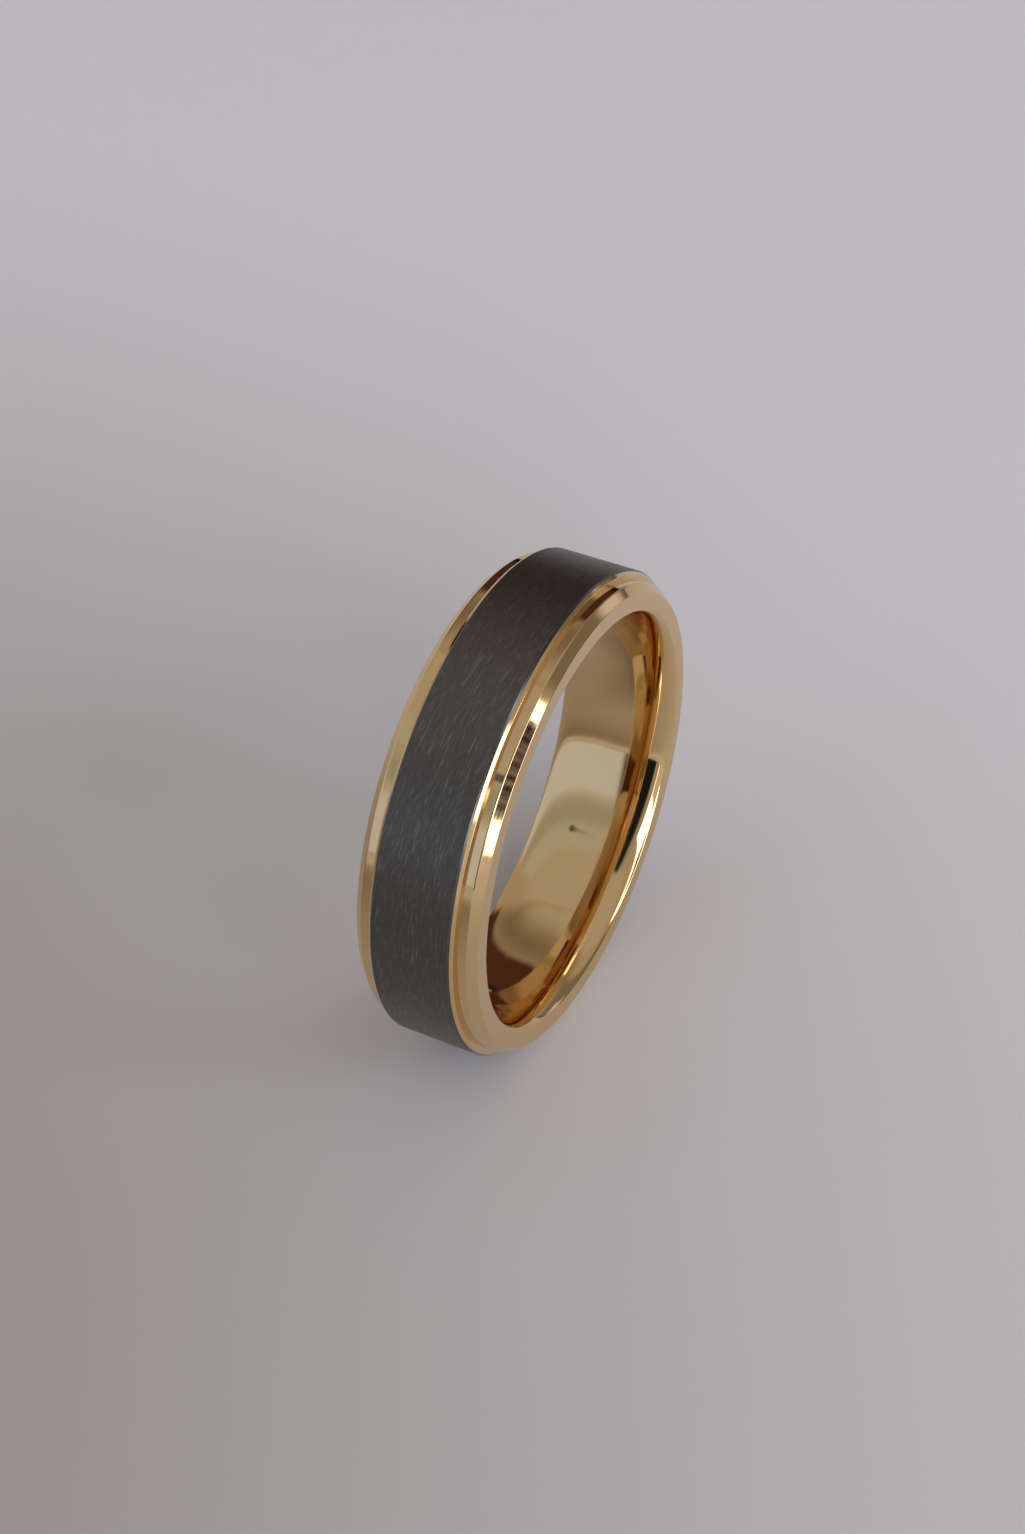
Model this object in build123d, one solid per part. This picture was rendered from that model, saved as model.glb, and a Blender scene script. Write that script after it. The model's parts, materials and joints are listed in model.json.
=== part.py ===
from build123d import *
import os

# Two-metal wedding band: a satin tantalum band carried on a polished gold liner, between gold shoulders.
# Frame: millimetres, +Z up, the ring upright, its axis along Y, origin at the centre of the finger hole.
# Front is -Y, where the liner has its own shoulder. The loose shoulder closes the back, at +Y.

# Driving dimensions, mm
bore_diameter = 19.4     # finger size, US 9 1/2
ring_width = 6.0         # overall width along the axis
liner_wall = 1.0         # gold under the tantalum band
band_thickness = 1.1     # tantalum, seat to outer face
band_edge_break = 0.08   # polished chamfer on each outer edge of the tantalum band
step_height = 0.4        # tantalum outer face down to the gold rail
lip_width = 0.14         # sloping gold lip beside the seam, measured along the axis
lip_drop = 0.1           # how far the lip slopes down before its wall drops to the rail
rail_width = 0.51        # flat gold rail
bevel_width = 0.4        # outer bevel, along the axis
bevel_height = 0.37      # outer bevel, across the wall
comfort_rise = 0.55      # how far the bore opens at each end
comfort_length = 2.4     # how far in from each side face the bore opens
edge_round = 0.12        # softened edges of the rail and bevel
lip_round = 0.03         # softened edge of the lip
seat_corner_round = 0.1  # inside corner of the liner, where the seat meets the shoulder
corner_clearance = 0.05  # how much more the mating edges are relieved than that corner

# Fits, mm
band_clearance = 0.02    # radial, tantalum band on the liner's seat
solder_gap = 0.05        # radial, loose shoulder on the liner's seat

# Places worked out from the driving dimensions
bore_radius = bore_diameter / 2
seat_radius = bore_radius + liner_wall
outer_radius = seat_radius + band_thickness
rail_radius = outer_radius - step_height
seam_radius = outer_radius - band_edge_break
bevel_radius = rail_radius - bevel_height
comfort_radius = bore_radius + comfort_rise
half_width = ring_width / 2
shoulder_width = lip_width + rail_width + bevel_width
half_band = half_width - shoulder_width
bore_half_length = half_width - comfort_length
corner_relief = seat_corner_round + corner_clearance


def turned(profile):
    """A full turn of a profile drawn as (distance from the axis, place along the axis)."""
    return revolve(profile, Axis.Y)


def shoulder_outline():
    """Gold outline from the seam, over the lip, rail and bevel, to the side face at +half_width."""
    lip = Line((seam_radius, half_band), (seam_radius - lip_drop, half_band + lip_width))
    wall = Line(lip @ 1, (rail_radius, half_band + lip_width))
    rail = Line(wall @ 1, (rail_radius, half_width - bevel_width))
    bevel = Line(rail @ 1, (bevel_radius, half_width))
    return [lip, wall, rail, bevel]


def softened(profile):
    """Rounds the lip's edge and the two long edges of the bevel."""
    lip_edge = (seam_radius - lip_drop, half_band + lip_width)
    profile = fillet(profile.vertices().sort_by_distance(lip_edge)[0], lip_round)
    edges = [(rail_radius, half_width - bevel_width), (bevel_radius, half_width)]
    corners = [profile.vertices().sort_by_distance(point)[0] for point in edges]
    return fillet(corners, edge_round)


def liner():
    """Gold liner: comfort-fit bore, seat for the tantalum band and one shoulder of the same metal."""
    outline = shoulder_outline()
    seam = outline[0] @ 0
    side = outline[-1] @ 1
    comfort_centre = (comfort_radius, bore_half_length)
    back_centre = (comfort_radius, -bore_half_length)
    face = Line(side, (comfort_radius, half_width))
    comfort = EllipticalCenterArc(comfort_centre, comfort_rise, comfort_length, 90, arc_size=90)
    bore = Line(comfort @ 1, (bore_radius, -bore_half_length))
    back_comfort = EllipticalCenterArc(back_centre, comfort_rise, comfort_length, 180, arc_size=90)
    end = Line(back_comfort @ 1, (seat_radius, -half_width))
    seat = Line(end @ 1, (seat_radius, half_band))
    shoulder_face = Line(seat @ 1, seam)
    profile = make_face(outline + [face, comfort, bore, back_comfort, end, seat, shoulder_face])
    profile = softened(profile)
    inside_corner = profile.vertices().sort_by_distance((seat_radius, half_band))[0]
    profile = fillet(inside_corner, seat_corner_round)
    return turned(mirror(profile, Plane.XZ))


def tantalum_band():
    """Dark band: flat outside with polished edge breaks, relieved inside to clear the liner's corner."""
    inner_radius = seat_radius + band_clearance
    centre = ((inner_radius + outer_radius) / 2, 0)
    profile = Pos(*centre) * Rectangle(outer_radius - inner_radius, 2 * half_band)
    corners = profile.vertices().sort_by(Axis.X)
    profile = chamfer(corners[2:], band_edge_break)
    corners = profile.vertices().sort_by(Axis.X)
    return turned(chamfer(corners[:2], corner_relief))


def loose_shoulder():
    """Second gold shoulder, turned as a ring of its own and slid on behind the tantalum band."""
    outline = shoulder_outline()
    inner_radius = seat_radius + solder_gap
    face = Line(outline[-1] @ 1, (inner_radius, half_width))
    bore = Line(face @ 1, (inner_radius, half_band))
    band_face = Line(bore @ 1, outline[0] @ 0)
    profile = make_face(outline + [face, bore, band_face])
    return turned(softened(profile))


def solder_seam():
    """Gold solder that fills the gap between the liner and the loose shoulder."""
    centre = (seat_radius + solder_gap / 2, half_width - shoulder_width / 2)
    return turned(Pos(*centre) * Rectangle(solder_gap, shoulder_width))


pieces = {
    "gold_liner": liner(),
    "tantalum_band": tantalum_band(),
    "gold_shoulder_ring": loose_shoulder(),
    "solder_seam": solder_seam(),
}

os.makedirs("parts", exist_ok=True)
for name, piece in pieces.items():
    export_step(piece, f"parts/{name}.step")
    print(name, round(piece.volume, 3), "mm3")
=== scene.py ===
import json
import math

import bpy
from mathutils import Euler, Matrix, Vector


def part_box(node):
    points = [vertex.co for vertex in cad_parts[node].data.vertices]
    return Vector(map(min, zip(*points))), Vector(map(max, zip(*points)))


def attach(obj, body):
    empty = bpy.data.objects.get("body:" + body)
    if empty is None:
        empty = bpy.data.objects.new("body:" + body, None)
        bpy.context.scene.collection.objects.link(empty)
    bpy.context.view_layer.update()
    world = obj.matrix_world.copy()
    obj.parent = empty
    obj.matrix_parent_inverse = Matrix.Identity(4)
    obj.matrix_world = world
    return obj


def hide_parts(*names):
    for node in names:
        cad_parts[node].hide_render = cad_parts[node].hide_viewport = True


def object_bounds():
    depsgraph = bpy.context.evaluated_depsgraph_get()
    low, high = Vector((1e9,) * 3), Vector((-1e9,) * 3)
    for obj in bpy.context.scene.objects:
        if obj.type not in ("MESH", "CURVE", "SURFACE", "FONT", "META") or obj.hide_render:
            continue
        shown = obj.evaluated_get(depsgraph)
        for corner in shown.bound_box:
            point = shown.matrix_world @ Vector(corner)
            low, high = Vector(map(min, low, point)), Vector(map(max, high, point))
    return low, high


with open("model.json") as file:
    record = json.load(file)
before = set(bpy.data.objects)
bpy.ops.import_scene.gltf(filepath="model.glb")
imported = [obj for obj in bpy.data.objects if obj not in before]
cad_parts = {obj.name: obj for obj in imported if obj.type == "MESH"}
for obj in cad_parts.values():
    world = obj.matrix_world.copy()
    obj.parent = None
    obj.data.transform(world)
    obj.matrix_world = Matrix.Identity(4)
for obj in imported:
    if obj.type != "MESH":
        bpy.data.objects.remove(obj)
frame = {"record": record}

cad_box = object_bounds()

# ---- Gold liner -----------------------------------------------------------------------------
# The inner ring that everything else sits on, with the front shoulder in one piece with it.
# It is turned from 14 carat yellow gold: a comfort-fit bore, a flat seat for the dark band, then
# a sloping lip with a wall below it, a flat rail and a bevel. All edges are softened on the wheel.

MM = 0.001
FACETS_ROUND = 512       # steps round the ring
CURVE_STEPS = 24         # steps along a turned curve
ROUND_STEPS = 5          # steps along a softened edge
GUARD = 0.004 * MM       # a flat face's shading is held flat this far from its softened edge
SHARP_ANGLE = math.radians(30)    # a bend over this stays a crisp edge

step_height = 0.4 * MM       # dark band's face down to the rail
lip_width = 0.14 * MM
lip_drop = 0.1 * MM          # the lip slopes down this far before its wall
bevel_width = 0.4 * MM       # along the axis
bevel_height = 0.37 * MM
comfort_rise = 0.55 * MM     # how far the bore opens at each end
edge_round = 0.12 * MM       # edges of the rail and the bevel
lip_round = 0.03 * MM
solder_gap = 0.05 * MM       # between the liner and the back shoulder

finger_bore = next(m for m in frame["record"]["mounts"] if m["name"] == "finger_bore")["dims"]
bore_radius = finger_bore["r_mm"] * MM
bore_half = finger_bore["length_mm"] * MM / 2
half_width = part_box("gold_liner")[1][1]
seam_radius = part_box("gold_liner")[1][2]
outer_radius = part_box("tantalum_band")[1][2]
half_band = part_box("tantalum_band")[1][1]
shoulder_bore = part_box("solder_seam")[1][2]
seat_radius = shoulder_bore - solder_gap
rail_radius = outer_radius - step_height
comfort_radius = bore_radius + comfort_rise
bevel_radius = rail_radius - bevel_height


def quarter(centre, radius, width, start):
    """A quarter of an ellipse as outline points, anticlockwise from start degrees."""
    points = []
    for step in range(CURVE_STEPS + 1):
        angle = math.radians(start + 90 * step / CURVE_STEPS)
        points.append((centre[0] + radius * math.cos(angle), centre[1] + width * math.sin(angle)))
    return points


def softened(before, corner, after, radius):
    """A sharp corner of the outline turned into a small round, with a guard point at each end."""
    corner = Vector(corner)
    to_before = (Vector(before) - corner).normalized()
    to_after = (Vector(after) - corner).normalized()
    half_angle = to_before.angle(to_after) / 2
    reach = radius / math.tan(half_angle)
    centre = corner + (to_before + to_after).normalized() * radius / math.sin(half_angle)
    first = corner + to_before * reach - centre
    turn = first.angle_signed(corner + to_after * reach - centre)
    points = [corner + to_before * (reach + GUARD)]
    for step in range(ROUND_STEPS + 1):
        spin = -turn * step / ROUND_STEPS
        c, s = math.cos(spin), math.sin(spin)
        points.append(centre + Vector((c * first.x - s * first.y, s * first.x + c * first.y)))
    points.append(corner + to_after * (reach + GUARD))
    return [tuple(p) for p in points]


def add(tree, kind, settings={}, **links):
    """Adds a node, sets its properties, then sets or links its inputs by name or number."""
    node = tree.nodes.new(kind)
    for name, value in settings.items():
        setattr(node, name, value)
    for name, value in links.items():
        by_number = name[1:].isdigit()
        socket = node.inputs[int(name[1:]) if by_number else name.replace("_", " ")]
        if isinstance(value, bpy.types.NodeSocket):
            tree.links.new(value, socket)
        else:
            socket.default_value = value
    return node


def turning_tree():
    """Geometry nodes that turn an outline (distance from the axis, place along it) once round."""
    tree = bpy.data.node_groups.new("turned_ring", "GeometryNodeTree")
    face = tree.interface
    face.new_socket("Outline", in_out="INPUT", socket_type="NodeSocketGeometry")
    face.new_socket("Bore radius", in_out="INPUT", socket_type="NodeSocketFloat")
    face.new_socket("Facets round", in_out="INPUT", socket_type="NodeSocketInt")
    face.new_socket("Metal", in_out="INPUT", socket_type="NodeSocketMaterial")
    face.new_socket("Ring", in_out="OUTPUT", socket_type="NodeSocketGeometry")
    given = tree.nodes.new("NodeGroupInput").outputs
    inset = add(tree, "ShaderNodeMath", {"operation": "MULTIPLY"}, i0=given["Bore radius"], i1=-1.0)
    shift = add(tree, "ShaderNodeCombineXYZ", X=inset.outputs[0])
    outline = add(tree, "GeometryNodeMeshToCurve", Mesh=given["Outline"])
    outline = add(tree, "GeometryNodeTransform", Geometry=outline.outputs[0], Translation=shift.outputs[0])
    circle = add(tree, "GeometryNodeCurvePrimitiveCircle", Resolution=given["Facets round"],
                 Radius=given["Bore radius"])
    ring = add(tree, "GeometryNodeCurveToMesh", i0=circle.outputs[0], i1=outline.outputs[0])
    upright = add(tree, "GeometryNodeTransform", Geometry=ring.outputs[0],
                  Rotation=(math.pi / 2, 0, 0))
    smooth = add(tree, "GeometryNodeSetShadeSmooth", i0=upright.outputs[0])
    bend = add(tree, "GeometryNodeInputMeshEdgeAngle").outputs[0]
    corner = add(tree, "FunctionNodeCompare", {"operation": "GREATER_THAN"}, i0=bend, i1=SHARP_ANGLE)
    crisp = add(tree, "GeometryNodeSetShadeSmooth", {"domain": "EDGE"}, i0=smooth.outputs[0],
                Selection=corner.outputs[0], Shade_Smooth=False)
    whole = add(tree, "GeometryNodeRealizeInstances", i0=crisp.outputs[0])
    metal = add(tree, "GeometryNodeSetMaterial", Geometry=whole.outputs[0], Material=given["Metal"])
    out = tree.nodes.new("NodeGroupOutput")
    tree.links.new(metal.outputs[0], out.inputs["Ring"])
    return tree


turned_ring = turning_tree()


def turn(name, outline, metal):
    """Makes a ring from its outline, as a plain mesh in the frame's own place."""
    mesh = bpy.data.meshes.new(name)
    edges = [(i, (i + 1) % len(outline)) for i in range(len(outline))]
    mesh.from_pydata([(x, y, 0) for x, y in outline], edges, [])
    piece = bpy.data.objects.new(name, mesh)
    bpy.context.scene.collection.objects.link(piece)
    modifier = piece.modifiers.new("turned", "NODES")
    modifier.node_group = turned_ring
    values = {"Bore radius": bore_radius, "Facets round": FACETS_ROUND, "Metal": metal}
    for item in turned_ring.interface.items_tree:
        if item.name in values:
            modifier[item.identifier] = values[item.name]
    depsgraph = bpy.context.evaluated_depsgraph_get()
    solid = bpy.data.meshes.new_from_object(piece.evaluated_get(depsgraph))
    piece.modifiers.remove(modifier)
    piece.data = solid
    solid.name = name
    return piece


def linear(hex_colour):
    """An sRGB hex colour as linear values with full alpha."""
    values = [int(hex_colour[i:i + 2], 16) / 255 for i in (0, 2, 4)]
    return tuple(v / 12.92 if v <= 0.04045 else ((v + 0.055) / 1.055) ** 2.4 for v in values) + (1,)


STROKE_FACING = -50.0        # side of the ring, in degrees round from the top, for leaning strokes


def streaks(tree, place, lean, width, length, detail=2.0):
    """Noise drawn out into strokes along the ring. The lean is in degrees from the way the ring
    turns, and holds at the side that STROKE_FACING names."""
    upward = Matrix.Rotation(math.radians(STROKE_FACING), 4, "Y")
    turned_by = (upward @ Matrix.Rotation(math.radians(lean), 4, "Z")).to_euler()
    stretched = add(tree, "ShaderNodeMapping", {"vector_type": "TEXTURE"}, Vector=place,
                    Rotation=turned_by, Scale=(length, width, length))
    drawn_out = add(tree, "ShaderNodeTexNoise", Vector=stretched.outputs[0], Scale=1.0, Detail=detail)
    return drawn_out.outputs[0]


# The wheel's real lines are a few hundredths of a millimetre apart, too fine to show one by one.
# They are drawn 0.05 mm wide, so that they still break up the brightest reflections.
wheel_line_width = 0.05 * MM
wheel_line_length = 4 * MM
wheel_line_depth = 0.001 * MM
buffed_wave = 1.2 * MM       # width of the waves that buffing leaves in a flat face
buffed_wave_depth = 0.004 * MM
handled_patch = 2.5 * MM     # width of the patches dulled by handling
mirror_roughness = 0.035
handled_roughness = 0.11


def polished_gold(name, colour):
    """14 carat yellow gold off the polishing wheel. To the eye it is a warm mirror, softened by
    faint lines along the ring, by slightly wavy faces and by a few duller patches."""
    material = bpy.data.materials.new(name)
    material.use_nodes = True
    tree = material.node_tree
    shader = tree.nodes["Principled BSDF"]
    shader.inputs["Metallic"].default_value = 1
    shader.inputs["Base Color"].default_value = linear(colour)
    place = add(tree, "ShaderNodeTexCoord").outputs["Object"]
    wheel_lines = streaks(tree, place, 0, wheel_line_width, wheel_line_length)
    handled = add(tree, "ShaderNodeTexNoise", Vector=place, Scale=1 / handled_patch, Detail=3.0).outputs[0]
    duller = add(tree, "ShaderNodeMath", {"operation": "MULTIPLY"}, i0=wheel_lines, i1=handled)
    roughness = add(tree, "ShaderNodeMapRange", Value=duller.outputs[0], From_Min=0.15, From_Max=0.4,
                    To_Min=mirror_roughness, To_Max=handled_roughness)
    tree.links.new(roughness.outputs[0], shader.inputs["Roughness"])
    wavy = add(tree, "ShaderNodeTexNoise", Vector=place, Scale=1 / buffed_wave, Detail=1.0).outputs[0]
    buffed = add(tree, "ShaderNodeBump", Height=wavy, Strength=0.25, Distance=buffed_wave_depth)
    lined = add(tree, "ShaderNodeBump", Height=wheel_lines, Strength=0.15, Distance=wheel_line_depth,
                Normal=buffed.outputs[0])
    tree.links.new(lined.outputs[0], shader.inputs["Normal"])
    return material


gold = polished_gold("polished_yellow_gold", "E7C692")


def shoulder_outline():
    """From the seam down the lip, along the rail and down the bevel to the side face."""
    seam = (seam_radius, half_band)
    lip_edge = (seam_radius - lip_drop, half_band + lip_width)
    foot = (rail_radius, half_band + lip_width)
    rail_end = (rail_radius, half_width - bevel_width)
    side = (bevel_radius, half_width)
    inside = (comfort_radius, half_width)
    return ([seam] + softened(seam, lip_edge, foot, lip_round) + [foot]
            + softened(foot, rail_end, side, edge_round) + softened(rail_end, side, inside, edge_round))


comfort_length = half_width - bore_half
outline = shoulder_outline()
outline += quarter((comfort_radius, bore_half), comfort_rise, comfort_length, 90)
outline += quarter((comfort_radius, -bore_half), comfort_rise, comfort_length, 180)
outline += [(seat_radius, -half_width), (seat_radius, half_band)]
outline = [(x, -y) for x, y in reversed(outline)]    # its shoulder is at the front
gold_liner = turn("gold_liner_polished", outline, gold)
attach(gold_liner, "root")
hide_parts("gold_liner")

# ---- Tantalum band ---------------------------------------------------------------------------
# The dark band that shows between the shoulders, a flat tantalum hoop slid on the liner's seat.
# Its face is satin-brushed by hand with short strokes, and each edge has a polished break.

band_clearance = 0.02 * MM   # between the band and the liner's seat
edge_break = 0.08 * MM       # polished chamfer on each outer edge
corner_relief = 0.15 * MM    # inner chamfer that clears the liner's inside corner

# The pad's real scratches are 0.01 to 0.02 mm wide. They are drawn about twice as wide, so that they show.
# Each family is lean in degrees, width and length in millimetres, then how bright: how deep and glossy the
# scratches are and how much painted highlight lightens their colour.
stroke_families = [
    (-4, 0.038, 1.1, 1.0),
    (-10, 0.034, 0.7, 0.8),
    (3, 0.034, 0.8, 0.6),
    (-17, 0.038, 0.5, 0.6),
]
grain_lean = -4
grain_width = 0.03 * MM
grain_length = 0.9 * MM
scratch_depth = 0.004 * MM
satin_roughness = 0.42
fresh_scratch_roughness = 0.33
edge_break_roughness = 0.22


def satin_tantalum(name):
    """Tantalum satined by hand with an abrasive pad. To the eye it is a dark grey metal with a soft sheen,
    a fine grain along the ring, short strokes across it at small angles, and a glint on its polished
    edges. The strokes are real scratches cut in as bumps and glossier streaks, and their lighter colour is
    a painted highlight for the light that their walls catch."""
    material = bpy.data.materials.new(name)
    material.use_nodes = True
    tree = material.node_tree
    shader = tree.nodes["Principled BSDF"]
    shader.inputs["Metallic"].default_value = 1
    place = add(tree, "ShaderNodeTexCoord").outputs["Object"]
    grain = streaks(tree, place, grain_lean, grain_width, grain_length, 3.0)
    strokes = None
    for lean, width, length, bright in stroke_families:
        one = add(tree, "ShaderNodeMapRange", {"interpolation_type": "SMOOTHSTEP"},
                  Value=streaks(tree, place, lean, width * MM, length * MM, 0.5),
                  From_Min=0.66, From_Max=0.8, To_Max=bright).outputs[0]
        strokes = one if strokes is None else add(tree, "ShaderNodeMath", {"operation": "MAXIMUM"},
                                                  i0=strokes, i1=one).outputs[0]
    grey = add(tree, "ShaderNodeMix", {"data_type": "RGBA"}, i0=grain, i6=linear("585450"),
               i7=linear("736E67"))
    # painted highlight: the strokes lighten the grey, for the light that the scratch walls catch
    grain_and_painted_highlight = add(tree, "ShaderNodeMix", {"data_type": "RGBA"}, i0=strokes, i6=grey.outputs[2],
                   i7=linear("918D87"))
    across = add(tree, "ShaderNodeSeparateXYZ", Vector=place).outputs[1]
    across = add(tree, "ShaderNodeMath", {"operation": "ABSOLUTE"}, i0=across).outputs[0]
    on_break = add(tree, "ShaderNodeMath", {"operation": "GREATER_THAN"}, i0=across,
                   i1=half_band - edge_break)
    colour = add(tree, "ShaderNodeMix", {"data_type": "RGBA"}, i0=on_break.outputs[0],
                 i6=grain_and_painted_highlight.outputs[2], i7=linear("64625E"))
    tree.links.new(colour.outputs[2], shader.inputs["Base Color"])
    satin = add(tree, "ShaderNodeMapRange", Value=strokes, To_Min=satin_roughness,
                To_Max=fresh_scratch_roughness)
    roughness = add(tree, "ShaderNodeMix", i0=on_break.outputs[0], i2=satin.outputs[0],
                    i3=edge_break_roughness)
    tree.links.new(roughness.outputs[0], shader.inputs["Roughness"])
    height = add(tree, "ShaderNodeMath", {"operation": "ADD"}, i0=grain, i1=strokes)
    cut = add(tree, "ShaderNodeBump", {"invert": True}, Height=height.outputs[0], Strength=0.35,
              Distance=scratch_depth)
    tree.links.new(cut.outputs[0], shader.inputs["Normal"])
    return material


tantalum = satin_tantalum("satin_brushed_tantalum")
inner = seat_radius + band_clearance
outline = [
    (inner + corner_relief, -half_band),
    (outer_radius - edge_break, -half_band),
    (outer_radius, -half_band + edge_break),
    (outer_radius, half_band - edge_break),
    (outer_radius - edge_break, half_band),
    (inner + corner_relief, half_band),
    (inner, half_band - corner_relief),
    (inner, -half_band + corner_relief),
]
tantalum_band = turn("tantalum_band_satin", outline, tantalum)
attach(tantalum_band, "root")
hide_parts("tantalum_band")

# ---- Gold shoulder ring ----------------------------------------------------------------------
# The back shoulder, turned from the same gold as a ring of its own, with the same lip, rail and
# bevel. It is slid on behind the dark band and soldered to the liner.

outline = shoulder_outline() + [(shoulder_bore, half_width), (shoulder_bore, half_band)]
gold_shoulder = turn("gold_shoulder_polished", outline, gold)
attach(gold_shoulder, "root")
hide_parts("gold_shoulder_ring")

# ---- Solder seam -----------------------------------------------------------------------------
# Gold solder run into the hairline gap between the liner and the back shoulder. It is filed
# flush with the side face and polished with it, so it shows as gold.

outline = [(seat_radius, half_band), (shoulder_bore, half_band)]
outline += [(shoulder_bore, half_width), (seat_radius, half_width)]
solder = turn("solder_seam_filed", outline, gold)
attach(solder, "root")
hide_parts("solder_seam")

# ---- Floor, light and camera -----------------------------------------------------------------
# A sheet of pale paper in a grey studio. The studio is soft-edged patches of light laid out by
# direction, which the gold mirrors: a tall window, walls, a ceiling and one dark curtain.

reach = 3.0                  # half the sheet's side, metres
rest = cad_box[0][2]         # the ring stands on its rim
floor_mesh = bpy.data.meshes.new("floor")
corners = [(-reach, -reach, rest), (reach, -reach, rest), (reach, reach, rest), (-reach, reach, rest)]
floor_mesh.from_pydata(corners, [], [(0, 1, 2, 3)])
floor = bpy.data.objects.new("floor", floor_mesh)
bpy.context.scene.collection.objects.link(floor)

# Pale matt paper, uncoated. To the eye it is flat and soft. Its colour carries painted shade: warm grey
# round a spot about 80 mm from the ring, where the light on it is dimmest, and nearly white further off.
painted_shade_centre = (-60 * MM, 50 * MM, rest)
dimmest_to = 6 * MM          # distance from painted_shade_centre
brightest_from = 130 * MM
paper = bpy.data.materials.new("pale_matt_paper_painted_shade")
paper.use_nodes = True
tree = paper.node_tree
shader = tree.nodes["Principled BSDF"]
place = add(tree, "ShaderNodeTexCoord").outputs["Object"]
distance_from_dim = add(tree, "ShaderNodeVectorMath", {"operation": "DISTANCE"}, i0=place, i1=painted_shade_centre)
painted_shade_falloff = add(tree, "ShaderNodeMapRange", {"interpolation_type": "SMOOTHSTEP"},
              Value=distance_from_dim.outputs["Value"], From_Min=dimmest_to, From_Max=brightest_from)
# painted shade: the paper's colour runs from warm grey near that spot to nearly white further off
shade = add(tree, "ShaderNodeMix", {"data_type": "RGBA"}, i0=painted_shade_falloff.outputs[0],
            i6=linear("9F978F"), i7=linear("EBE9ED"))
tree.links.new(shade.outputs[2], shader.inputs["Base Color"])
shader.inputs["Roughness"].default_value = 0.9
shader.inputs["Specular IOR Level"].default_value = 0.1
floor_mesh.materials.append(paper)

# Each patch of the studio, later ones over earlier ones: left and right azimuth, lowest and
# highest height and edge fade, all in degrees, then colour and brightness.
studio_lights = [
    (-270, -160, 27, 60, 12, "B4B9BC", 1),           # left wall, upper
    (-270, -160, 31, 43, 7, "A3A6A8", 1),            # shaded strip across it
    (-275, -150, -20, 27, 8, "C8D3EA", 1),           # left wall, lower
    (-300, 60, 60, 91, 10, "B4B1AF", 1),             # ceiling
    (-10, 60, 36, 60, 24, "7F7467", 1),              # back wall
    (8, 62, -3, 36, 6, "4C3029", 1),                 # dark brown curtain
    (8, 62, -3, 5, 4, "1C1412", 1),                  # its shaded foot
    (-70, -5, -5, 40, 12, "7D796F", 1),              # right wall
    (-31, -18, 3, 16, 7, "D6D4E1", 1),               # pale panel
    (-17, -4, -6, 3, 5, "59545A", 1),                # dark gap under it
    (-194, -163, -3, 66, 4, "1E1D1C", 1),            # dark gap beside the window
    (-163, -154, -3, 62, 4, "9A9CA6", 1),            # pale frame of the window
    (-154, -76.5, 0, 41, 3, "F2F5FC", 3.6),          # window
    (-153, -124, -3, 17, 4, "CFCBD0", 1),            # pale sill
]
room_tone = "AEA69C"         # the studio wherever no patch lies
plain_backdrop = "BDBDBE"    # what shows above the paper's far edge
azimuth_seam = -290.0        # azimuths run once round from here
world = bpy.data.worlds.new("studio")
bpy.context.scene.world = world
world.use_nodes = True
tree = world.node_tree
background = tree.nodes["Background"]
look = add(tree, "ShaderNodeTexCoord").outputs["Generated"]
along = add(tree, "ShaderNodeSeparateXYZ", Vector=look).outputs


def sums(operation, a, b=0.0, c=0.0):
    """One step of arithmetic in the studio's nodes."""
    return add(tree, "ShaderNodeMath", {"operation": operation}, i0=a, i1=b, i2=c).outputs[0]


azimuth = sums("MULTIPLY", sums("ARCTAN2", along[1], along[0]), math.degrees(1))
azimuth = sums("WRAP", azimuth, azimuth_seam + 360, azimuth_seam)
height = sums("MULTIPLY", sums("ARCSINE", along[2]), math.degrees(1))
tone = add(tree, "ShaderNodeRGB").outputs[0]
tone.default_value = linear(room_tone)


def lit(under, left, right, low, high, fade, light):
    """The studio with one more soft-edged rectangle of light laid over it."""
    sideways = sums("MINIMUM", sums("SUBTRACT", azimuth, left), sums("SUBTRACT", right, azimuth))
    upright = sums("MINIMUM", sums("SUBTRACT", height, low), sums("SUBTRACT", high, height))
    amount = add(tree, "ShaderNodeMapRange", {"interpolation_type": "SMOOTHSTEP"},
                 Value=sums("MINIMUM", sideways, upright), From_Min=-fade / 2, From_Max=fade / 2)
    laid_over = add(tree, "ShaderNodeMix", {"data_type": "RGBA"}, i0=amount.outputs[0], i6=under, i7=light)
    return laid_over.outputs[2]


for left, right, low, high, fade, colour, brightness in studio_lights:
    tone = lit(tone, left, right, low, high, fade, tuple(brightness * v for v in linear(colour)))

# A dark, mottled plant stands in the window.
leaf_density = 26.0
leaves = add(tree, "ShaderNodeTexNoise", Vector=look, Scale=leaf_density, Detail=1.0, Roughness=0.4)
leaves = add(tree, "ShaderNodeMapRange", Value=leaves.outputs[0], From_Min=0.4, From_Max=0.66)
plant = add(tree, "ShaderNodeMix", {"data_type": "RGBA"}, i0=leaves.outputs[0], i6=linear("161518"),
            i7=linear("8C848E"))
tone = lit(tone, -113.5, -84.5, 10, 31, 1.5, plant.outputs[2])

# A small round fitting, soft at its edge, is on the left wall.
knob = (-0.59, 0.34, 0.73)   # its direction from the ring
knob_core, knob_edge = 0.016, 0.045
knob_density = 0.85
away = add(tree, "ShaderNodeVectorMath", {"operation": "DISTANCE"}, i0=look, i1=knob).outputs["Value"]
spot = add(tree, "ShaderNodeMapRange", {"interpolation_type": "SMOOTHSTEP"}, Value=away,
           From_Min=knob_core, From_Max=knob_edge, To_Min=knob_density, To_Max=0.0).outputs[0]
tone = add(tree, "ShaderNodeMix", {"data_type": "RGBA"}, i0=spot, i6=tone, i7=linear("3A3734")).outputs[2]

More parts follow.
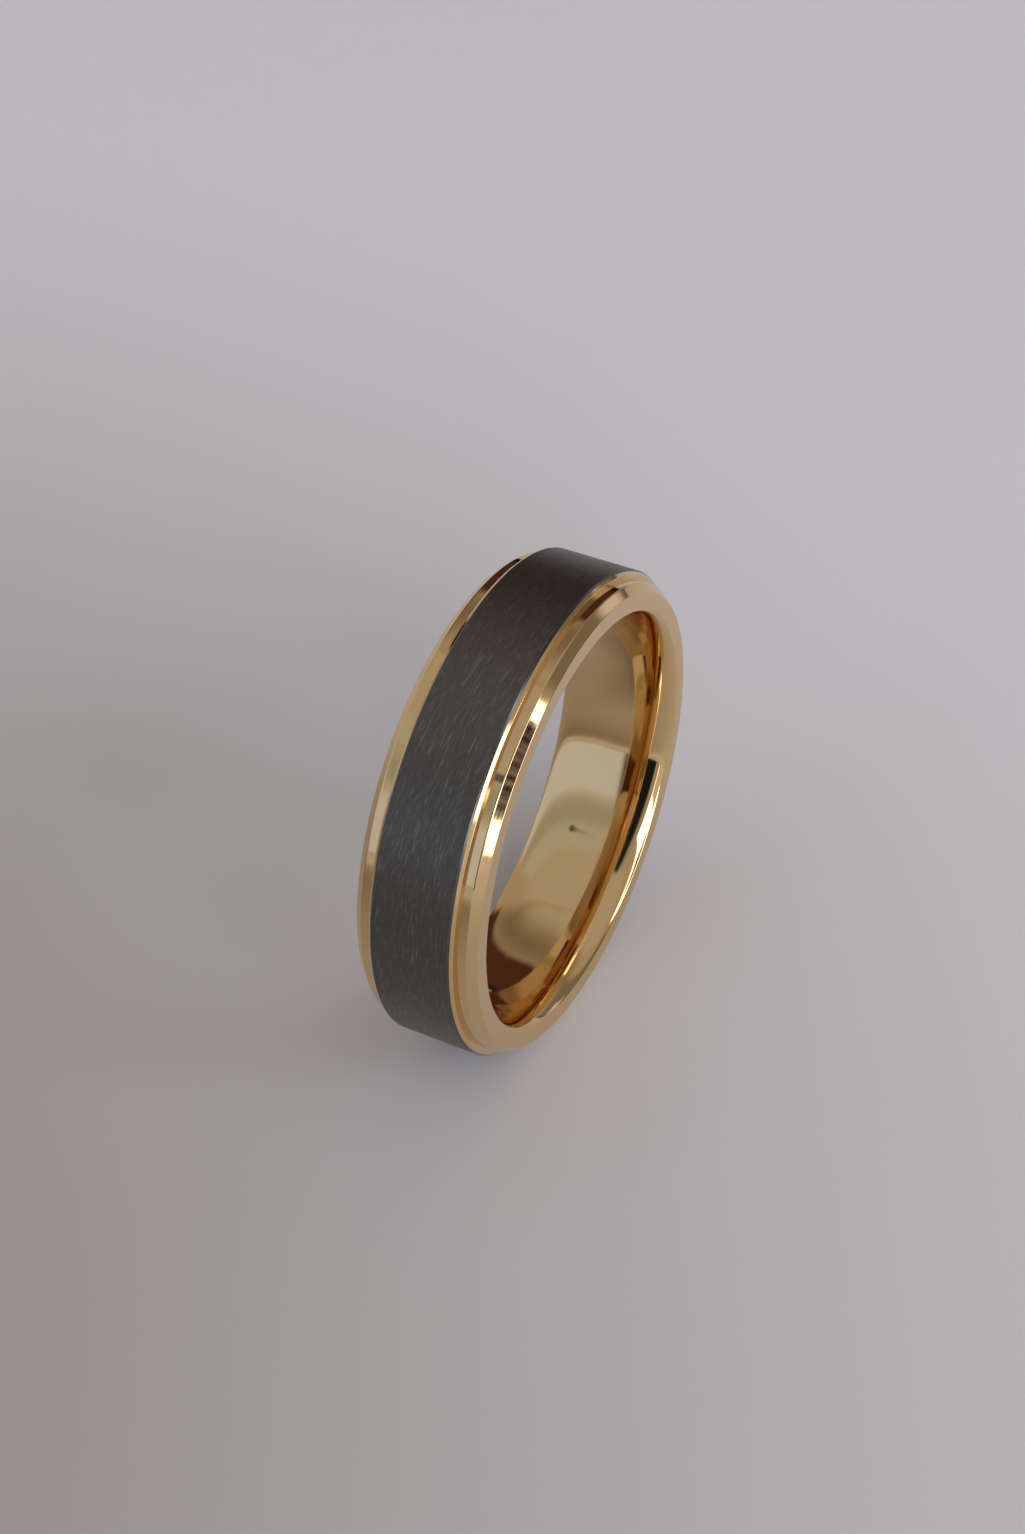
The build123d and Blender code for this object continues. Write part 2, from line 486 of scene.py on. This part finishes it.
# The metal mirrors the studio, and the view above the paper stays plain.
plain = add(tree, "ShaderNodeRGB").outputs[0]
plain.default_value = linear(plain_backdrop)
seen = add(tree, "ShaderNodeLightPath").outputs["Is Camera Ray"]
shown = add(tree, "ShaderNodeMix", {"data_type": "RGBA"}, i0=seen, i6=tone, i7=plain)
tree.links.new(shown.outputs[2], background.inputs["Color"])
background.inputs["Strength"].default_value = 1.0
bpy.context.scene.view_settings.view_transform = "Standard"
bpy.context.scene.cycles.glossy_bounces = 12    # enough for gold seen in gold inside the bore

# A soft box on the window side fills the paper. The mirror-bright metal does not show it.
box_width = 0.4              # metres
box_power = 0.42             # watts
box_away = 0.5               # metres from the ring's centre
box_lean = math.radians(50)  # from straight overhead
box_swing = math.radians(-10)
box_data = bpy.data.lights.new("window_softbox", "AREA")
box_data.shape = "SQUARE"
box_data.size = box_width
box_data.energy = box_power
box_data.color = (1.0, 0.99, 0.98)
softbox = bpy.data.objects.new("window_softbox", box_data)
bpy.context.scene.collection.objects.link(softbox)
box_turn = Euler((box_lean, 0, box_swing))
softbox.rotation_euler = box_turn
softbox.location = box_turn.to_matrix() @ Vector((0, 0, box_away))
softbox.visible_glossy = False

# The camera looks down at the ring from its left front, from close by.
IMAGE_WIDTH = 1025
SENSOR_WIDTH = 36            # millimetres
focal_length = 2500          # in steps of the image's width
elevation = math.radians(40.95)
swing = math.radians(63.31)  # from straight in front, towards the left
distance = 116.8 * MM
right_offset = 0.77 * MM     # the ring stands this far right of the view's middle
up_offset = 1.66 * MM        # and this far below it
camera_data = bpy.data.cameras.new("camera")
camera_data.sensor_fit = "HORIZONTAL"
camera_data.sensor_width = SENSOR_WIDTH
camera_data.lens = focal_length / IMAGE_WIDTH * SENSOR_WIDTH
camera_data.clip_start = 1 * MM
camera = bpy.data.objects.new("camera", camera_data)
bpy.context.scene.collection.objects.link(camera)
turn_camera = Euler((math.pi / 2 - elevation, 0, -swing))
camera.rotation_euler = turn_camera
camera.location = turn_camera.to_matrix() @ Vector((-right_offset, up_offset, distance))
bpy.context.scene.camera = camera
